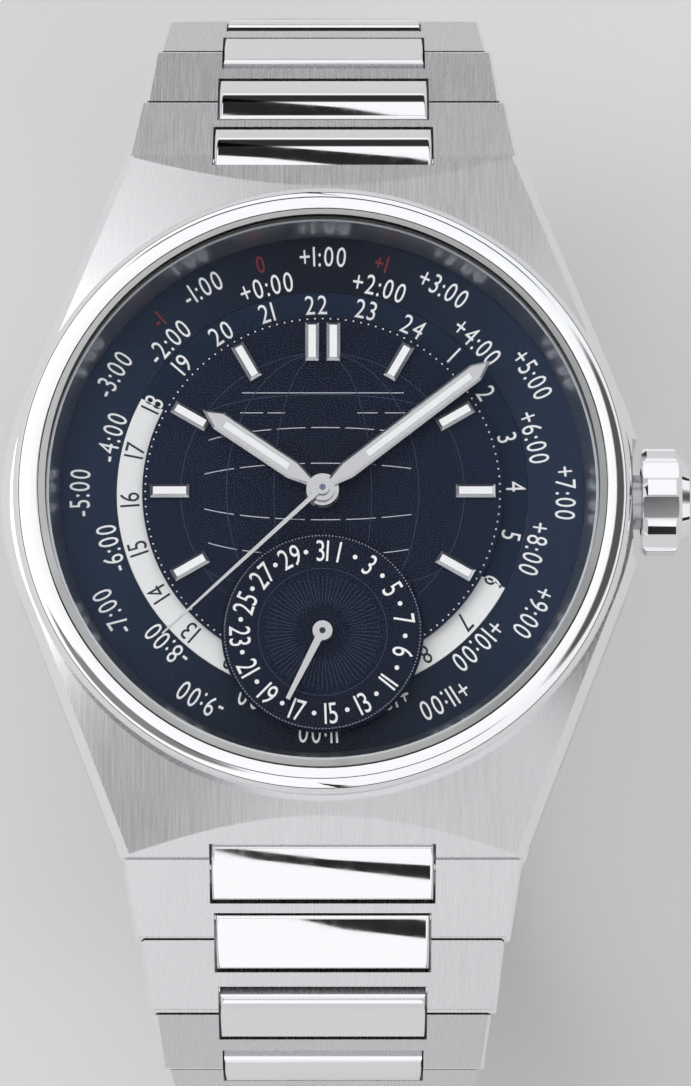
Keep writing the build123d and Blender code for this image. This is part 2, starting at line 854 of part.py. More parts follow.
def hairspring():
    """Flat spiral of the hairspring, as quarter-turn arcs of growing radius."""
    quarter = hairspring_pitch / 4
    radius = hairspring_start_radius
    centre = (0.0, 0.0)
    corners = ((1, 0), (0, 1), (-1, 0), (0, -1))
    path = None
    for index in range(hairspring_turns * 4):
        start_side = corners[index % 4]
        end_side = corners[(index + 1) % 4]
        start = (centre[0] + radius * start_side[0], centre[1] + radius * start_side[1])
        end = (centre[0] + radius * end_side[0], centre[1] + radius * end_side[1])
        half = radius * math.sqrt(2) / 2
        middle = (centre[0] + half * (start_side[0] + end_side[0]),
                  centre[1] + half * (start_side[1] + end_side[1]))
        arc = ThreePointArc(start, middle, end)
        path = arc if path is None else path + arc
        centre = (centre[0] - quarter * end_side[0], centre[1] - quarter * end_side[1])
        radius += quarter
    start_place = Plane(origin=path @ 0, x_dir=(1, 0, 0), z_dir=path % 0)
    strip = sweep(start_place * Rectangle(hairspring_width, hairspring_height), path)
    low = bridge_high_z + running_gap + hairspring_height
    return Pos(balance_x, balance_y, low) * strip


def movement_ring():
    """Ring that holds the movement in the case."""
    low = back_thickness + running_gap
    return ring(movement_ring_radius, movement_radius + fit_gap, low, plate_high_z) - stem_bore()


def stem_bore():
    """Way in for the stem, crown side."""
    bore = extrude(Circle(stem_radius + running_gap), case_width)
    return Pos(stem_inner_x - running_gap, 0, crown_z) * (Rot(0, 90, 0) * bore)


def main_plate():
    """Main plate with its central hole and stem way."""
    plate = disc(movement_radius, plate_low_z, plate_high_z)
    plate -= disc(hour_pipe_bore + hand_pipe_wall + fit_gap, 0, case_thickness)
    plate -= stem_bore()
    keyless = Pos(stem_inner_x, 0, crown_z) * Box(keyless_room * 2, keyless_room, keyless_room)
    return plate - keyless


def screw_spots():
    """Places of the bridge screws."""
    radius = movement_radius - bridge_foot_width
    return [
        (radius * math.cos(math.radians(angle)), radius * math.sin(math.radians(angle)))
        for angle in bridge_screw_angles
    ]


def train_bridge():
    """Bridge over the going train, with feet down to the plate at its rim."""
    balance_room = disc(balance_radius + balance_room_gap, bridge_low_z, bridge_high_z,
                        balance_x, balance_y)
    whole = disc(movement_radius, bridge_low_z, bridge_high_z) - balance_room
    whole -= cock_space(running_gap)
    foot = ring(movement_radius, movement_radius - bridge_foot_width, bridge_high_z, plate_low_z)
    whole += foot - cock_space(running_gap, plate_low_z)
    boss = disc(rotor_boss_radius, rotor_low_z + rotor_rim_thickness, bridge_low_z)
    whole += boss
    for x, y in screw_spots():
        whole -= disc(bridge_screw_radius, bridge_low_z, plate_low_z, x, y)
        whole -= disc(bridge_screw_head_radius + fit_gap, bridge_low_z,
                      bridge_low_z + bridge_screw_head_height, x, y)
    return whole


def cock_space(gap, high=bridge_high_z):
    """Plan of the balance cock, with a gap round it."""
    angle = math.degrees(math.atan2(balance_y, balance_x))
    width = balance_radius - balance_rim_width + gap * 2
    arm = Rot(0, 0, angle) * span(math.hypot(balance_x, balance_y) - width / 2, movement_radius,
                                  -width / 2, width / 2)
    return Pos(0, 0, bridge_low_z) * extrude(arm, high - bridge_low_z)


def balance_cock():
    """Cock over the balance, its foot down to the plate at the rim."""
    rim = disc(movement_radius, bridge_low_z, plate_low_z)
    outside = rim - disc(movement_radius - bridge_foot_width, bridge_low_z, plate_low_z)
    arm = cock_space(0) & rim
    foot = cock_space(0, plate_low_z) & outside
    return arm + foot


def bridge_screws():
    """Screws that hold the train bridge."""
    screws = []
    for x, y in screw_spots():
        head = disc(bridge_screw_head_radius, bridge_low_z,
                    bridge_low_z + bridge_screw_head_height, x, y)
        shank = disc(bridge_screw_radius, bridge_low_z, plate_low_z, x, y)
        screws.append(head + shank)
    return screws


def rotor():
    """Half-round winding rotor: thin web with windows, heavy rim, hub."""
    web_low = rotor_low_z + rotor_rim_thickness - rotor_plate_thickness
    half = span(-rotor_radius, rotor_radius, -rotor_radius, 0)
    web = Circle(rotor_radius) & half
    windows = (Circle(rotor_radius - rotor_rim_width - rotor_web_rim) - Circle(rotor_web_hub)) & half
    for index in range(rotor_ribs):
        rib = Rectangle(rotor_radius, rotor_rib_width, align=(Align.MIN, Align.CENTER))
        windows -= Rot(0, 0, -index * 180 / (rotor_ribs - 1)) * rib
    plate = Pos(0, 0, web_low) * extrude(web - windows, rotor_plate_thickness)
    rim = Circle(rotor_radius) - Circle(rotor_radius - rotor_rim_width)
    weight = Pos(0, 0, rotor_low_z) * extrude(rim & half, rotor_rim_thickness)
    hub = disc(rotor_hub_radius, rotor_low_z, rotor_low_z + rotor_rim_thickness)
    return plate + weight + hub


# Bracelet

def h_link(index):
    """H-shaped link: arms at both sides, one crossbar, tapered in plan."""
    step = pitch_of(index)
    half = link_half_thickness
    first = index == 1
    strip = span(-first_knuckle_radius if first else 0, step + knuckle_radius, -half, half)
    lower_round = Pos(step, 0) * Circle(knuckle_radius)
    section = span(0, step, -half, half) + (lower_round & strip)
    if first:
        section += Circle(first_knuckle_radius) & strip
    else:
        section -= Circle(knuckle_radius + knuckle_gap)
    start_width = strap_width(index - 1)
    end_width = strap_width(index)
    low = -first_knuckle_radius
    high = step + knuckle_radius
    plan = make_face(Polyline((-start_width / 2, low), (start_width / 2, low),
                              (end_width / 2, high), (-end_width / 2, high), close=True))
    plan = fillet(plan.vertices().sort_by(Axis.Y)[-2:], link_corner_round)
    body = across(section, start_width) & Pos(0, 0, -half) * extrude(plan, half + half)
    upper_half = centre_width(index - 1) / 2 + centre_side_gap
    lower_half = centre_width(index) / 2 + centre_side_gap
    lead = first_centre_lead if first else centre_lead
    length = first_centre_length if first else centre_length
    upper_wall = length - lead + centre_gap
    lower_wall = step - centre_lead - knuckle_gap
    depth = half + centre_raise
    upper = across(span(-overrun, upper_wall, -depth, depth), upper_half)
    lower = across(span(lower_wall, high, -depth, depth), lower_half)
    body = body - upper - lower
    outside = body.faces().filter_by(Axis.Z).sort_by(Axis.Z)[-1]
    corner_y = step + math.sqrt(knuckle_radius ** 2 - half ** 2)
    sides = [edge for edge in outside.edges()
             if abs(edge.center().X) > max(upper_half, lower_half) + fit_gap
             and edge.bounding_box().size.Y > knuckle_radius]
    body = chamfer(sides, link_edge)
    outside = body.faces().filter_by(Axis.Z).sort_by(Axis.Z)[-1]
    shoulder = [edge for edge in outside.edges() if abs(edge.center().Y - corner_y) < fit_gap]
    body = fillet(shoulder, shoulder_round)
    body -= pin_along_x(pin_radius + fit_gap, lower_half + pin_reach, step, 0)
    if first:
        body -= pin_along_x(pin_radius + fit_gap, upper_half + pin_reach, 0, 0)
    return body


def bowed_top(section, low_y, high_y):
    """Side section of a centre link, its top bowed between two ends."""
    top = link_half_thickness + centre_raise
    return section & Pos((low_y + high_y) / 2, top - centre_bow_radius) * Circle(centre_bow_radius)


def centre_link(index):
    """Raised polished centre link, hinged on its pin at the upper end."""
    half_width = centre_width(index - 1) / 2
    top = link_half_thickness + centre_raise
    tail = centre_length - centre_lead
    section = (span(0, tail, -link_half_thickness, top) + span(-centre_lead, 0, 0, top)
               + Circle(centre_lead))
    body = across(bowed_top(section, -centre_lead, tail), half_width)
    outside = body.faces().sort_by(Axis.Z)[-1]
    body = fillet(outside.edges(), centre_edge)
    return body - pin_along_x(pin_radius, half_width, 0, 0)


def end_piece():
    """First centre link, held in the case notch by its spring bar."""
    half_width = centre_width(0) / 2
    section = bowed_top(end_piece_space(0), -first_centre_lead,
                        first_centre_length - first_centre_lead)
    body = across(section, half_width)
    outside = body.faces().sort_by(Axis.Z)[-1]
    body = fillet(outside.edges(), centre_edge)
    body -= pin_along_x(pin_radius, half_width, 0, 0)
    return body - pin_along_x(spring_bar_radius, half_width, -spring_bar_back, -spring_bar_drop)


def end_pieces():
    """Both end pieces with their spring bars and hinge pins."""
    half_width = centre_width(0) / 2
    reach = half_width + centre_side_gap + pin_reach
    bar = pin_along_x(spring_bar_radius, reach, -spring_bar_back, -spring_bar_drop)
    pin = pin_along_x(pin_radius, reach, 0, 0)
    placed = [on_link(1, "12h") * piece for piece in (end_piece(), bar, pin)]
    return placed + [other_side(piece) for piece in placed]


def link_set(index):
    """One bracelet link in its own frame: H-link, centre link and hinge pin."""
    pieces = [h_link(index)]
    if index > 1:
        reach = centre_width(index - 1) / 2 + centre_side_gap + pin_reach
        pieces.append(centre_link(index))
        pieces.append(pin_along_x(pin_radius, reach, 0, 0))
    return pieces


def clasp_bar():
    """Bar and pin in the last 12 o'clock link, where the clasp cover is hung."""
    half_width = centre_width(links_per_side) / 2
    section = span(-centre_lead, 0, -link_half_thickness, link_half_thickness) + Circle(centre_lead)
    bar = across(section, half_width) - pin_along_x(pin_radius, half_width, 0, 0)
    pin = pin_along_x(pin_radius, half_width + centre_side_gap + pin_reach, 0, 0)
    last = Pos(0, link_pitch, 0)
    return [last * bar, last * pin]


# Clasp, in a frame of its own: an arc through both last pins, its middle at Y = 0

clasp_end_angle = 180.0 - link_slopes_6h[-1]
clasp_radius = clasp_pin_y / math.sin(math.radians(clasp_end_angle))
clasp_centre_z = clasp_pin_z + clasp_radius * math.cos(math.radians(clasp_end_angle))
cover_outer_radius = clasp_radius + link_half_thickness
cover_inner_radius = cover_outer_radius - cover_thickness
middle_outer_radius = cover_inner_radius - blade_gap
inner_outer_radius = middle_outer_radius - blade_thickness - blade_gap
cover_hinge_angle = clasp_end_angle - math.degrees(cover_hinge_back / clasp_radius)
blade_hinge_angle = clasp_end_angle - math.degrees(blade_hinge_back / clasp_radius)
cover_bottom_z = clasp_centre_z - cover_outer_radius


def on_arc(radius, degrees):
    """A point of the clasp's side section, the angle counted from straight down to +Y."""
    angle = math.radians(degrees)
    return radius * math.sin(angle), clasp_centre_z - radius * math.cos(angle)


def bowed(outer, thickness, low_angle, high_angle):
    """Side section of a bowed plate between two angles."""
    inner = outer - thickness
    middle = (low_angle + high_angle) / 2
    outside = ThreePointArc(on_arc(outer, low_angle), on_arc(outer, middle),
                            on_arc(outer, high_angle))
    inside = ThreePointArc(on_arc(inner, low_angle), on_arc(inner, middle),
                           on_arc(inner, high_angle))
    ends = (Line(on_arc(outer, low_angle), on_arc(inner, low_angle))
            + Line(on_arc(outer, high_angle), on_arc(inner, high_angle)))
    return make_face(outside + inside + ends)


cover_hinge = on_arc(middle_outer_radius - clasp_eye_radius, -cover_hinge_angle)
blade_hinge_radius = inner_outer_radius - blade_thickness / 2
blade_hinge = on_arc(blade_hinge_radius, blade_hinge_angle)
eye_angle = math.degrees(clasp_eye_radius / blade_hinge_radius)
eye_room_angle = math.degrees((clasp_eye_radius + running_gap) / blade_hinge_radius)
arc_end_gap = math.degrees((knuckle_radius + clasp_end_gap) / clasp_radius)
cover_end_angle = clasp_end_angle - arc_end_gap


def clasp_cover():
    """Outer cover: bowed plate with side walls, ears for its hinge and slots for the buttons."""
    plate = across(bowed(cover_outer_radius, cover_thickness, -cover_end_angle, cover_end_angle),
                   clasp_width / 2)
    walls = across(bowed(cover_outer_radius, cover_wall_depth, -cover_end_angle, cover_end_angle),
                   clasp_width / 2)
    walls -= across(bowed(cover_outer_radius, cover_wall_depth, -cover_end_angle, cover_end_angle),
                    clasp_width / 2 - cover_wall)
    cover = plate + walls
    cover -= button_space(running_gap)
    reach = clasp_width / 2 - cover_wall / 2
    return cover - pin_along_x(clasp_pin_radius + fit_gap, reach + fit_gap, *cover_hinge)


def button_space(gap):
    """Room for the push buttons through both side walls."""
    middle_y, middle_z = on_arc(cover_inner_radius - button_height / 2 - running_gap,
                                math.degrees(button_y / clasp_radius))
    return Pos(0, middle_y, middle_z) * Box(clasp_width + overrun, button_length + gap * 2,
                                            button_height + gap * 2)


def clasp_buttons():
    """The two push buttons, one through each side wall of the cover."""
    outer = clasp_width / 2 + button_proud
    side = across(span(-clasp_pin_y, clasp_pin_y, cover_bottom_z, 0), button_reach / 2)
    right = button_space(0) & Pos(outer - button_reach / 2, 0, 0) * side
    right = chamfer(right.faces().sort_by(Axis.X)[-1].edges(), button_proud / 2)
    return mirror(right, Plane.YZ), right


def clasp_middle_blade():
    """Middle blade: hinged to the cover at 6 o'clock and to the inner blade at 12 o'clock."""
    width = clasp_inner_width / 2
    room = clasp_eye_width / 2 + running_gap
    blade = across(bowed(middle_outer_radius, blade_thickness, -cover_hinge_angle,
                         blade_hinge_angle), width)
    blade += pin_along_x(clasp_eye_radius, width, *cover_hinge)
    neck = bowed(middle_outer_radius, middle_outer_radius - blade_hinge_radius,
                 blade_hinge_angle - eye_angle, blade_hinge_angle + eye_angle)
    blade += across(neck, width) - across(neck, room)
    blade += pin_along_x(clasp_eye_radius, width, *blade_hinge)
    blade -= pin_along_x(clasp_eye_radius + running_gap, room, *blade_hinge)
    pins_of_blade = pin_along_x(clasp_pin_radius, clasp_width / 2 - cover_wall / 2, *cover_hinge)
    return blade + pins_of_blade - pin_along_x(clasp_pin_radius + fit_gap, width, *blade_hinge)


def clasp_inner_blade():
    """Inner blade: from the last 6 o'clock link to the middle blade's hinge."""
    half = clasp_eye_width / 2
    last_half = centre_width(links_per_side) / 2
    blade = across(bowed(inner_outer_radius, blade_thickness, -clasp_end_angle,
                         blade_hinge_angle), inner_blade_width / 2)
    ear_room = bowed(inner_outer_radius + overrun, blade_thickness + overrun * 2,
                     blade_hinge_angle - eye_room_angle, clasp_end_angle)
    blade -= across(ear_room, inner_blade_width) - across(ear_room, half)
    blade -= pin_along_x(clasp_eye_radius + running_gap, clasp_width, *cover_hinge)
    eye = pin_along_x(clasp_eye_radius, half, *blade_hinge)
    pin = pin_along_x(clasp_pin_radius, clasp_inner_width / 2, *blade_hinge)
    last = on_arc(clasp_radius, -clasp_end_angle)
    knuckle = pin_along_x(centre_lead, last_half, *last)
    last_pin = pin_along_x(pin_radius, last_half + pin_reach, *last)
    return blade + eye + pin + knuckle + last_pin


# The named pieces

keep("case_body", case_body())
keep("bezel", bezel())
keep("crystal", crystal())
keep("crystal_gasket", ring(bezel_bore_radius - fit_gap, ledge_radius, crystal_low_z - gasket_width,
                            crystal_low_z))
keep("rehaut_ring", rehaut_ring())
keep("case_back", case_back())
keep("back_crystal", disc(back_window_radius - fit_gap, 0, back_crystal_step)
     + disc(back_crystal_radius - fit_gap, back_crystal_step, back_crystal_thickness))
keep("back_gasket", ring(back_gasket_radius, back_gasket_radius - gasket_width, back_thickness,
                         back_thickness + running_gap))
keep("case_back_screws", *case_back_screws())
keep("crown_tube", crown_tube())
keep("crown", crown())
keep("winding_stem", winding_stem())
keep("crown_gasket", crown_gasket())
keep("dial_plate", dial_plate())
keep("hour_markers", *hour_markers())
keep("date_subdial", date_subdial())
keep("city_disc", city_disc())
keep("hour_disc", hour_disc())
keep("hour_hand", hour_hand())
keep("minute_hand", minute_hand())
keep("seconds_hand", seconds_hand())
keep("date_hand", date_hand())
keep("movement_ring", movement_ring())
keep("main_plate", main_plate())
keep("train_bridge", train_bridge())
keep("balance_cock", balance_cock())
keep("bridge_screws", *bridge_screws())
keep("rotor", rotor())
keep("barrel", barrel())
keep("second_wheel", second_wheel())
keep("third_wheel", third_wheel())
keep("fourth_wheel", fourth_wheel())
keep("escape_wheel", escape_wheel())
keep("pallet_fork", pallet_fork())
keep("balance_wheel", balance_wheel())
keep("hairspring", hairspring())
keep("end_pieces", *end_pieces())
for number in range(1, links_per_side + 1):
    link = link_set(number)
    hung = clasp_bar() if number == links_per_side else []
    keep(f"link_12h_{number}", *[on_link(number, "12h") * piece for piece in link + hung])
    keep(f"link_6h_{number}", *[other_side(on_link(number, "6h") * piece) for piece in link])
keep("clasp_cover", clasp_cover())
keep("clasp_middle_blade", clasp_middle_blade())
keep("clasp_inner_blade", clasp_inner_blade())
left_button, right_button = clasp_buttons()
keep("clasp_button_left", left_button)
keep("clasp_button_right", right_button)

for name, pieces in nodes.items():
    separate = [solid for piece in pieces for solid in solids_of(piece)]
    export_step(Compound(separate), f"parts/{name}.step")
print(len(nodes), "pieces written")
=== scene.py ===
"""World time watch: finishes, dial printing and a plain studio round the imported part.

Lengths are in metres through MM. +Z points out of the dial, +Y to 12 o'clock, +X to the crown.
"""
import json
import math

import bmesh
import bpy
from mathutils import Matrix, Vector


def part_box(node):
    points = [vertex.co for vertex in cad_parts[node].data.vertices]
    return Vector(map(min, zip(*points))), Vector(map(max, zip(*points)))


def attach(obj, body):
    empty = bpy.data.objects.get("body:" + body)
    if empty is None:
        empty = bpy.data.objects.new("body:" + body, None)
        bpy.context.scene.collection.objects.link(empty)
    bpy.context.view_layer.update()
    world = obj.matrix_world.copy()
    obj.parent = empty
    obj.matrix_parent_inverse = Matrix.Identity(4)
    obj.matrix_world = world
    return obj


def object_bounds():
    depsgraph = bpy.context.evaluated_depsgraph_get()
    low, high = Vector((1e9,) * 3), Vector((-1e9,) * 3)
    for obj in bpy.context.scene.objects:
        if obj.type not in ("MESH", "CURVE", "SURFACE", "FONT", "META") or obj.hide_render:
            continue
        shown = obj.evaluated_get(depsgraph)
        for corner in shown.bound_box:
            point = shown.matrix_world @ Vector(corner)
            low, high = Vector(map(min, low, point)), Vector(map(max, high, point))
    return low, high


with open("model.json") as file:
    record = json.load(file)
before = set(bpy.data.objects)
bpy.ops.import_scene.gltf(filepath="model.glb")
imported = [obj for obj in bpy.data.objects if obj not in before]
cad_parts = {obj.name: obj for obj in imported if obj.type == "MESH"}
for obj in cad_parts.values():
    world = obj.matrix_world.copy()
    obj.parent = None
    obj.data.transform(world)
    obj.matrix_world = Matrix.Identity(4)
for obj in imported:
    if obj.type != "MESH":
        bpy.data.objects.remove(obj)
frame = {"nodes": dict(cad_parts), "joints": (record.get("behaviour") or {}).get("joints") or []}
cad_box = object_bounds()

MM = 0.001

# Heights read from the frame's own pieces, and places on the dial
dial_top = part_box("hour_markers")[0].z
ring_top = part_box("city_disc")[1].z
subdial_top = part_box("date_subdial")[1].z
subdial_centre = Vector((0, -9.1 * MM, 0))

# Angles in degrees, clockwise from 12
hand_angles = {"hour_hand": 304.2, "minute_hand": 52.2}
middle_of_day = 208

# Printing
print_depth = 0.012 * MM
print_sink = 0.004 * MM
weld_distance = 0.0005 * MM

# Colours, linear
steel_white = (0.71, 0.71, 0.72)
steel_grey = (0.48, 0.48, 0.50)
ring_night = (0.008, 0.019, 0.046)
ring_day = (0.96, 0.97, 0.97)
ink_white = (0.94, 0.95, 0.96)
ink_dark = (0.012, 0.016, 0.03)
ink_red = (0.22, 0.005, 0.014)


# Finishes

# Scales of patterns, in cycles per metre
brush_fine = 14000
brush_long = 260
flake_scale = (9000, 9000, 9000)

# Grooves of the brushing, and their share of the steel's colour
groove_depth = 0.006 * MM
groove_shade = 0.95

# Lacquer: its specular level, its flakes, and the painted sheen that lightens it on both sides,
# towards 3 and 9 o'clock
lacquer_specular = 0.12
flake_height = 0.004 * MM
painted_sheen_from, painted_sheen_to = 2 * MM, 15 * MM

# Width over which the painted highlight on a crystal's rim fades in
rim_highlight_fade = 0.06 * MM


def new_finish(name, colour, settings=None):
    """A material with one shader, and its nodes and links to build on."""
    made = bpy.data.materials.new(name)
    made.use_nodes = True
    shader = made.node_tree.nodes["Principled BSDF"]
    shader.inputs["Base Color"].default_value = (*colour, 1)
    for socket, value in (settings or {}).items():
        shader.inputs[socket].default_value = value
    return made, shader, made.node_tree.nodes, made.node_tree.links


def object_place(nodes):
    """Coordinates that stay with the piece, in metres."""
    return nodes.new("ShaderNodeTexCoord").outputs["Object"]


def grain(nodes, links, scale, detail=3.0):
    """Noise stretched over the piece by a scale in cycles per metre along each axis."""
    mapping = nodes.new("ShaderNodeMapping")
    noise = nodes.new("ShaderNodeTexNoise")
    mapping.inputs["Scale"].default_value = scale
    noise.inputs["Scale"].default_value = 1.0
    noise.inputs["Detail"].default_value = detail
    noise.inputs["Roughness"].default_value = 0.6
    links.new(object_place(nodes), mapping.inputs["Vector"])
    links.new(mapping.outputs["Vector"], noise.inputs["Vector"])
    return noise.outputs["Fac"]


def spread(nodes, links, source, low, high, start=0.3, stop=0.7):
    """Map a pattern's values between two others."""
    band = nodes.new("ShaderNodeMapRange")
    band.inputs["From Min"].default_value = start
    band.inputs["From Max"].default_value = stop
    band.inputs["To Min"].default_value = low
    band.inputs["To Max"].default_value = high
    links.new(source, band.inputs["Value"])
    return band.outputs["Result"]


def shaded(nodes, links, source, dark, light):
    """A colour between two others, by a pattern."""
    ramp = nodes.new("ShaderNodeValToRGB")
    ramp.color_ramp.elements[0].position = 0.3
    ramp.color_ramp.elements[0].color = (*dark, 1)
    ramp.color_ramp.elements[1].position = 0.7
    ramp.color_ramp.elements[1].color = (*light, 1)
    links.new(source, ramp.inputs["Fac"])
    return ramp.outputs["Color"]


def mixed(nodes, links, share, first, second):
    """A colour mixed from two others by a share."""
    mix = nodes.new("ShaderNodeMix")
    mix.data_type = "RGBA"
    mix.inputs["A"].default_value = (*first, 1)
    mix.inputs["B"].default_value = (*second, 1)
    links.new(share, mix.inputs["Factor"])
    return mix.outputs["Result"]


def from_axis(nodes, links):
    """Distance from the object's Z axis."""
    flat = nodes.new("ShaderNodeVectorMath")
    flat.operation = "MULTIPLY"
    flat.inputs[1].default_value = (1, 1, 0)
    links.new(object_place(nodes), flat.inputs[0])
    reach = nodes.new("ShaderNodeVectorMath")
    reach.operation = "LENGTH"
    links.new(flat.outputs["Vector"], reach.inputs[0])
    return reach.outputs["Value"]


def raised(nodes, links, source, shader, strength, height):
    """Fine relief from a pattern."""
    bump = nodes.new("ShaderNodeBump")
    bump.inputs["Strength"].default_value = strength
    bump.inputs["Distance"].default_value = height
    links.new(source, bump.inputs["Height"])
    links.new(bump.outputs["Normal"], shader.inputs["Normal"])


def brushed(name, scale, colour=steel_white, rough=(0.22, 0.31), strength=0.06):
    """Steel brushed along the axis with the smallest scale."""
    made, shader, nodes, links = new_finish(name, colour, {"Metallic": 1.0})
    lines = grain(nodes, links, scale)
    darker = tuple(channel * groove_shade for channel in colour)
    links.new(shaded(nodes, links, lines, darker, colour), shader.inputs["Base Color"])
    links.new(spread(nodes, links, lines, *rough), shader.inputs["Roughness"])
    raised(nodes, links, lines, shader, strength, groove_depth)
    return made


def polished(name, colour=(0.88, 0.88, 0.89), rough=(0.012, 0.035)):
    """Mirror-polished steel with faint wiping marks."""
    made, shader, nodes, links = new_finish(name, colour, {"Metallic": 1.0})
    marks = grain(nodes, links, (900, 900, 900), detail=4.0)
    links.new(spread(nodes, links, marks, *rough), shader.inputs["Roughness"])
    return made


def lacquer(name, colour, painted_sheen_colour, gloss=0.42):
    """Dark satin lacquer with fine flakes, and a painted sheen that lightens it towards 3 and 9
    o'clock.
    """
    made, shader, nodes, links = new_finish(
        name, colour, {"Specular IOR Level": lacquer_specular})
    sides = nodes.new("ShaderNodeSeparateXYZ")
    links.new(object_place(nodes), sides.inputs["Vector"])
    reach = nodes.new("ShaderNodeMath")
    reach.operation = "ABSOLUTE"
    links.new(sides.outputs["X"], reach.inputs[0])
    # Painted sheen: the colour lightens with distance from the 12 to 6 line, standing in for the
    # dial's reflection.
    painted_sheen = spread(nodes, links, reach.outputs["Value"], 0.0, 1.0, painted_sheen_from, painted_sheen_to)
    links.new(mixed(nodes, links, painted_sheen, colour, painted_sheen_colour), shader.inputs["Base Color"])
    flakes = grain(nodes, links, flake_scale, detail=2.0)
    links.new(spread(nodes, links, flakes, gloss, gloss + 0.12), shader.inputs["Roughness"])
    raised(nodes, links, flakes, shader, 0.05, flake_height)
    return made


def ink(name, colour, gloss=0.45):
    """Printed ink with a slightly uneven surface."""
    made, shader, nodes, links = new_finish(name, colour)
    body = grain(nodes, links, (6000, 6000, 6000))
    links.new(spread(nodes, links, body, gloss, gloss + 0.15), shader.inputs["Roughness"])
    return made


brushed_steel = brushed("strap_brushed_steel", (brush_fine, brush_long, brush_long))
cross_brushed = brushed("side_brushed_steel", (brush_long, brush_long, brush_fine))
satin_steel = brushed("satin_steel", (4000, 4000, 4000), colour=steel_grey, strength=0.15)
polished_steel = polished("polished_steel")
# Each lacquer's second colour, here and in the faint lines below, is its painted sheen towards 3
# and 9 o'clock.
dial_lacquer = lacquer("dial_lacquer", (0.006, 0.010, 0.027), (0.010, 0.018, 0.046))
ring_lacquer = lacquer("ring_lacquer", (0.005, 0.009, 0.021), (0.019, 0.034, 0.070))
white_ink = ink("white_ink", ink_white)
dark_ink = ink("dark_ink", ink_dark)
red_ink = ink("red_ink", ink_red)
rehaut_satin = polished("rehaut_satin", colour=(0.62, 0.64, 0.68), rough=(0.27, 0.33))
hand_steel = polished("hand_steel", colour=(0.58, 0.58, 0.60), rough=(0.14, 0.22))
# Painted shade: the hour markers' sides get a darker steel than their polished tops.
painted_shade_steel = polished("marker_side_painted_shade_steel", colour=(0.50, 0.51, 0.54), rough=(0.12, 0.2))
gilt = brushed("gilt_brass", (5000, 5000, 5000), colour=(0.72, 0.5, 0.2), strength=0.1)
blued = polished("tempered_steel", colour=(0.16, 0.18, 0.28), rough=(0.1, 0.2))
silver_line = polished("silver_line", colour=(0.44, 0.46, 0.51), rough=(0.2, 0.3))
faint_line = lacquer("faint_line", (0.030, 0.045, 0.085), (0.045, 0.065, 0.115))


def day_and_night():
    """Lacquer of the 24 hour ring: white over the day half, navy over the night half."""
    noon = math.radians(middle_of_day)
    made, shader, nodes, links = new_finish(
        "day_night_lacquer", ring_night, {"Specular IOR Level": lacquer_specular})
    side = nodes.new("ShaderNodeVectorMath")
    side.operation = "DOT_PRODUCT"
    side.inputs[1].default_value = (math.sin(noon), math.cos(noon), 0)
    links.new(object_place(nodes), side.inputs[0])
    is_day = nodes.new("ShaderNodeMath")
    is_day.operation = "GREATER_THAN"
    is_day.inputs[1].default_value = 0.0
    links.new(side.outputs["Value"], is_day.inputs[0])
    links.new(mixed(nodes, links, is_day.outputs["Value"], ring_night, ring_day),
              shader.inputs["Base Color"])
    flakes = grain(nodes, links, flake_scale, detail=2.0)
    links.new(spread(nodes, links, flakes, 0.32, 0.42), shader.inputs["Roughness"])
    return made


def sapphire(name, highlight_from):
    """Clear crystal with a painted highlight on its bevelled rim: its colour and opacity rise
    towards the rim.
    """
    made, shader, nodes, links = new_finish(name, (0, 0, 0), {"Roughness": 0.03, "IOR": 1.77})
    reach = from_axis(nodes, links)
    highlight_to = highlight_from + rim_highlight_fade
    # Painted highlight: base colour and opacity rise towards the rim.
    for socket, middle, rim in (("Alpha", 0.03, 0.72), ("Base Color", 0.0, 0.6)):
        links.new(spread(nodes, links, reach, middle, rim, highlight_from, highlight_to),
                  shader.inputs[socket])
    return made


def rubber():
    """Matt black rubber."""
    made, shader, nodes, links = new_finish("gasket_rubber", (0.02, 0.02, 0.02))
    skin = grain(nodes, links, (5000, 5000, 5000))
    links.new(spread(nodes, links, skin, 0.55, 0.75), shader.inputs["Roughness"])
    raised(nodes, links, skin, shader, 0.2, 0.01 * MM)
    return made


def striped_plate():
    """Plated metal with straight waves across it."""
    made, shader, nodes, links = new_finish("striped_plate", steel_grey, {"Metallic": 1.0})
    wave = nodes.new("ShaderNodeTexWave")
    wave.wave_profile = "SAW"
    wave.inputs["Scale"].default_value = 95.0
    turned = nodes.new("ShaderNodeMapping")
    turned.inputs["Rotation"].default_value = (0, 0, math.radians(35))
    links.new(object_place(nodes), turned.inputs["Vector"])
    links.new(turned.outputs["Vector"], wave.inputs["Vector"])
    links.new(shaded(nodes, links, wave.outputs["Fac"], (0.42, 0.42, 0.44), (0.72, 0.72, 0.74)),
              shader.inputs["Base Color"])
    links.new(spread(nodes, links, wave.outputs["Fac"], 0.22, 0.38), shader.inputs["Roughness"])
    raised(nodes, links, wave.outputs["Fac"], shader, 0.4, 0.02 * MM)
    return made


plate_stripes = striped_plate()
# Both crystals carry a painted highlight on the rim, from these radii outward.
crystal_clear = sapphire("sapphire", highlight_from=17.45 * MM)
back_clear = sapphire("back_sapphire", highlight_from=13.3 * MM)
black_rubber = rubber()


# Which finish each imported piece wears

def wear(names, *finishes):
    """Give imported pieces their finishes, the first one everywhere."""
    for name in names:
        mesh = frame["nodes"][name].data
        mesh.materials.clear()
        for made in finishes:
            mesh.materials.append(made)


def finish_faces(name, index, chosen):
    """Give the faces that a test picks, by centre and normal, another of the piece's finishes."""
    for face in frame["nodes"][name].data.polygons:
        if chosen(face.center, face.normal):
            face.material_index = index


